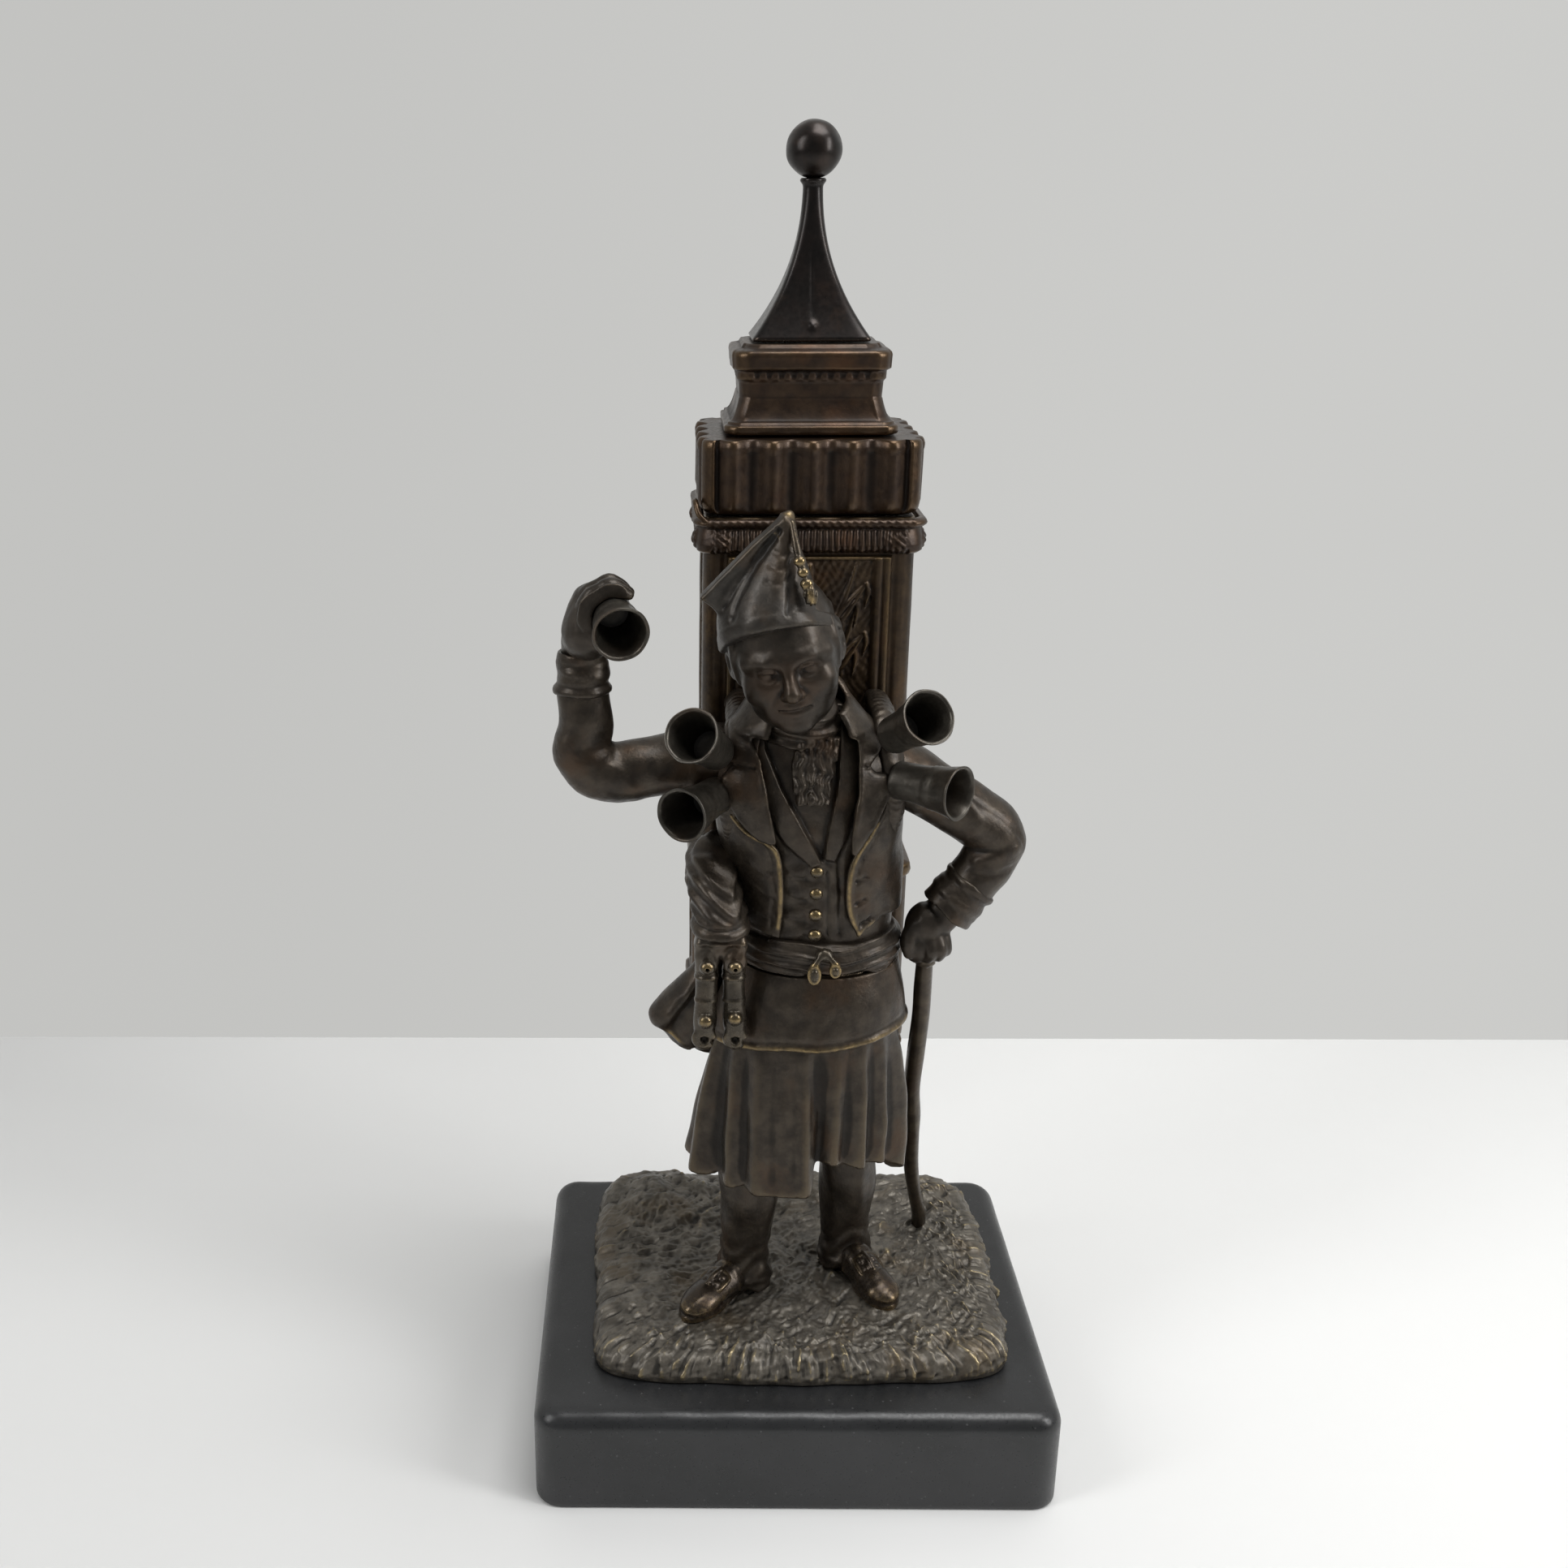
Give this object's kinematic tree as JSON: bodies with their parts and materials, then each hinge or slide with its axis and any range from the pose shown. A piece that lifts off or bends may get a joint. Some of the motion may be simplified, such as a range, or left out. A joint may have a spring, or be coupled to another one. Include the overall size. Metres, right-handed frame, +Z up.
{
  "type": "table vesta case",
  "caption": "Cast bronze street drink seller on a black stone plinth; the tall four-sided tank on the back is a match holder with a lift-off roof.",
  "frame": {"origin": "middle of the plinth's underside", "axes": "+Z up; the figure faces -Y; +X is the figure's left"},
  "size_m": [0.088, 0.0714, 0.2188],
  "materials": {
    "plinth_stone": "honed black stone, softly polished edges",
    "fixing_steel": "plain steel",
    "terrain_bronze": "brown patina, rubbed golden on the raised blades",
    "cloth_bronze": "dark brown patina, satin",
    "skin_bronze": "dark brown patina, satin",
    "rubbed_bronze": "patina rubbed through to golden metal",
    "tank_bronze": "reddish brown patina, satin",
    "finial_bronze": "near-black patina, glossy"
  },
  "bodies": {
    "root": {"head": "skin_bronze", "hat": "skin_bronze", "hat_tassel": "rubbed_bronze", "tank_body": "tank_bronze", "tank_foot": "tank_bronze", "tank_cord": "tank_bronze", "tank_capital": "tank_bronze", "shoe_right": "cloth_bronze", "buckle_right": "rubbed_bronze", "shoe_left": "cloth_bronze", "buckle_left": "rubbed_bronze", "skirt": "cloth_bronze", "leg_right": "cloth_bronze", "leg_left": "cloth_bronze", "apron": "cloth_bronze", "waistcoat": "cloth_bronze", "sash": "cloth_bronze", "sash_tassels": "rubbed_bronze", "waistcoat_buttons": "rubbed_bronze", "jacket": "cloth_bronze", "cravat": "cloth_bronze", "jacket_collar": "cloth_bronze", "right_sleeve": "cloth_bronze", "right_cuff": "cloth_bronze", "raised_cup": "skin_bronze", "right_hand": "skin_bronze", "left_sleeve": "cloth_bronze", "left_cuff": "cloth_bronze", "left_hand": "skin_bronze", "walking_stick": "rubbed_bronze", "strap_right": "cloth_bronze", "strap_left": "cloth_bronze", "chest_cup_1": "skin_bronze", "chest_cup_2": "skin_bronze", "chest_cup_3": "skin_bronze", "chest_cup_4": "skin_bronze", "tap_sleeve": "cloth_bronze", "tap_manifold": "cloth_bronze", "tap_1": "rubbed_bronze", "tap_key_1": "rubbed_bronze", "tap_2": "rubbed_bronze", "tap_key_2": "rubbed_bronze", "hip_cloth": "cloth_bronze", "tank_relief": "tank_bronze", "fixing_stud": "fixing_steel", "plinth": "plinth_stone", "fixing_washer": "fixing_steel", "fixing_nut": "fixing_steel", "ground_plate": "terrain_bronze"},
    "lid": {"lid_cornice": "tank_bronze", "lid_spire": "finial_bronze", "lid_ball": "finial_bronze"}
  },
  "joints": [
    {"name": "lid_lift", "type": "slide", "parent": "root", "child": "lid", "axis": [0, 0, 1], "range_m": [0, 0.02]}
  ]
}
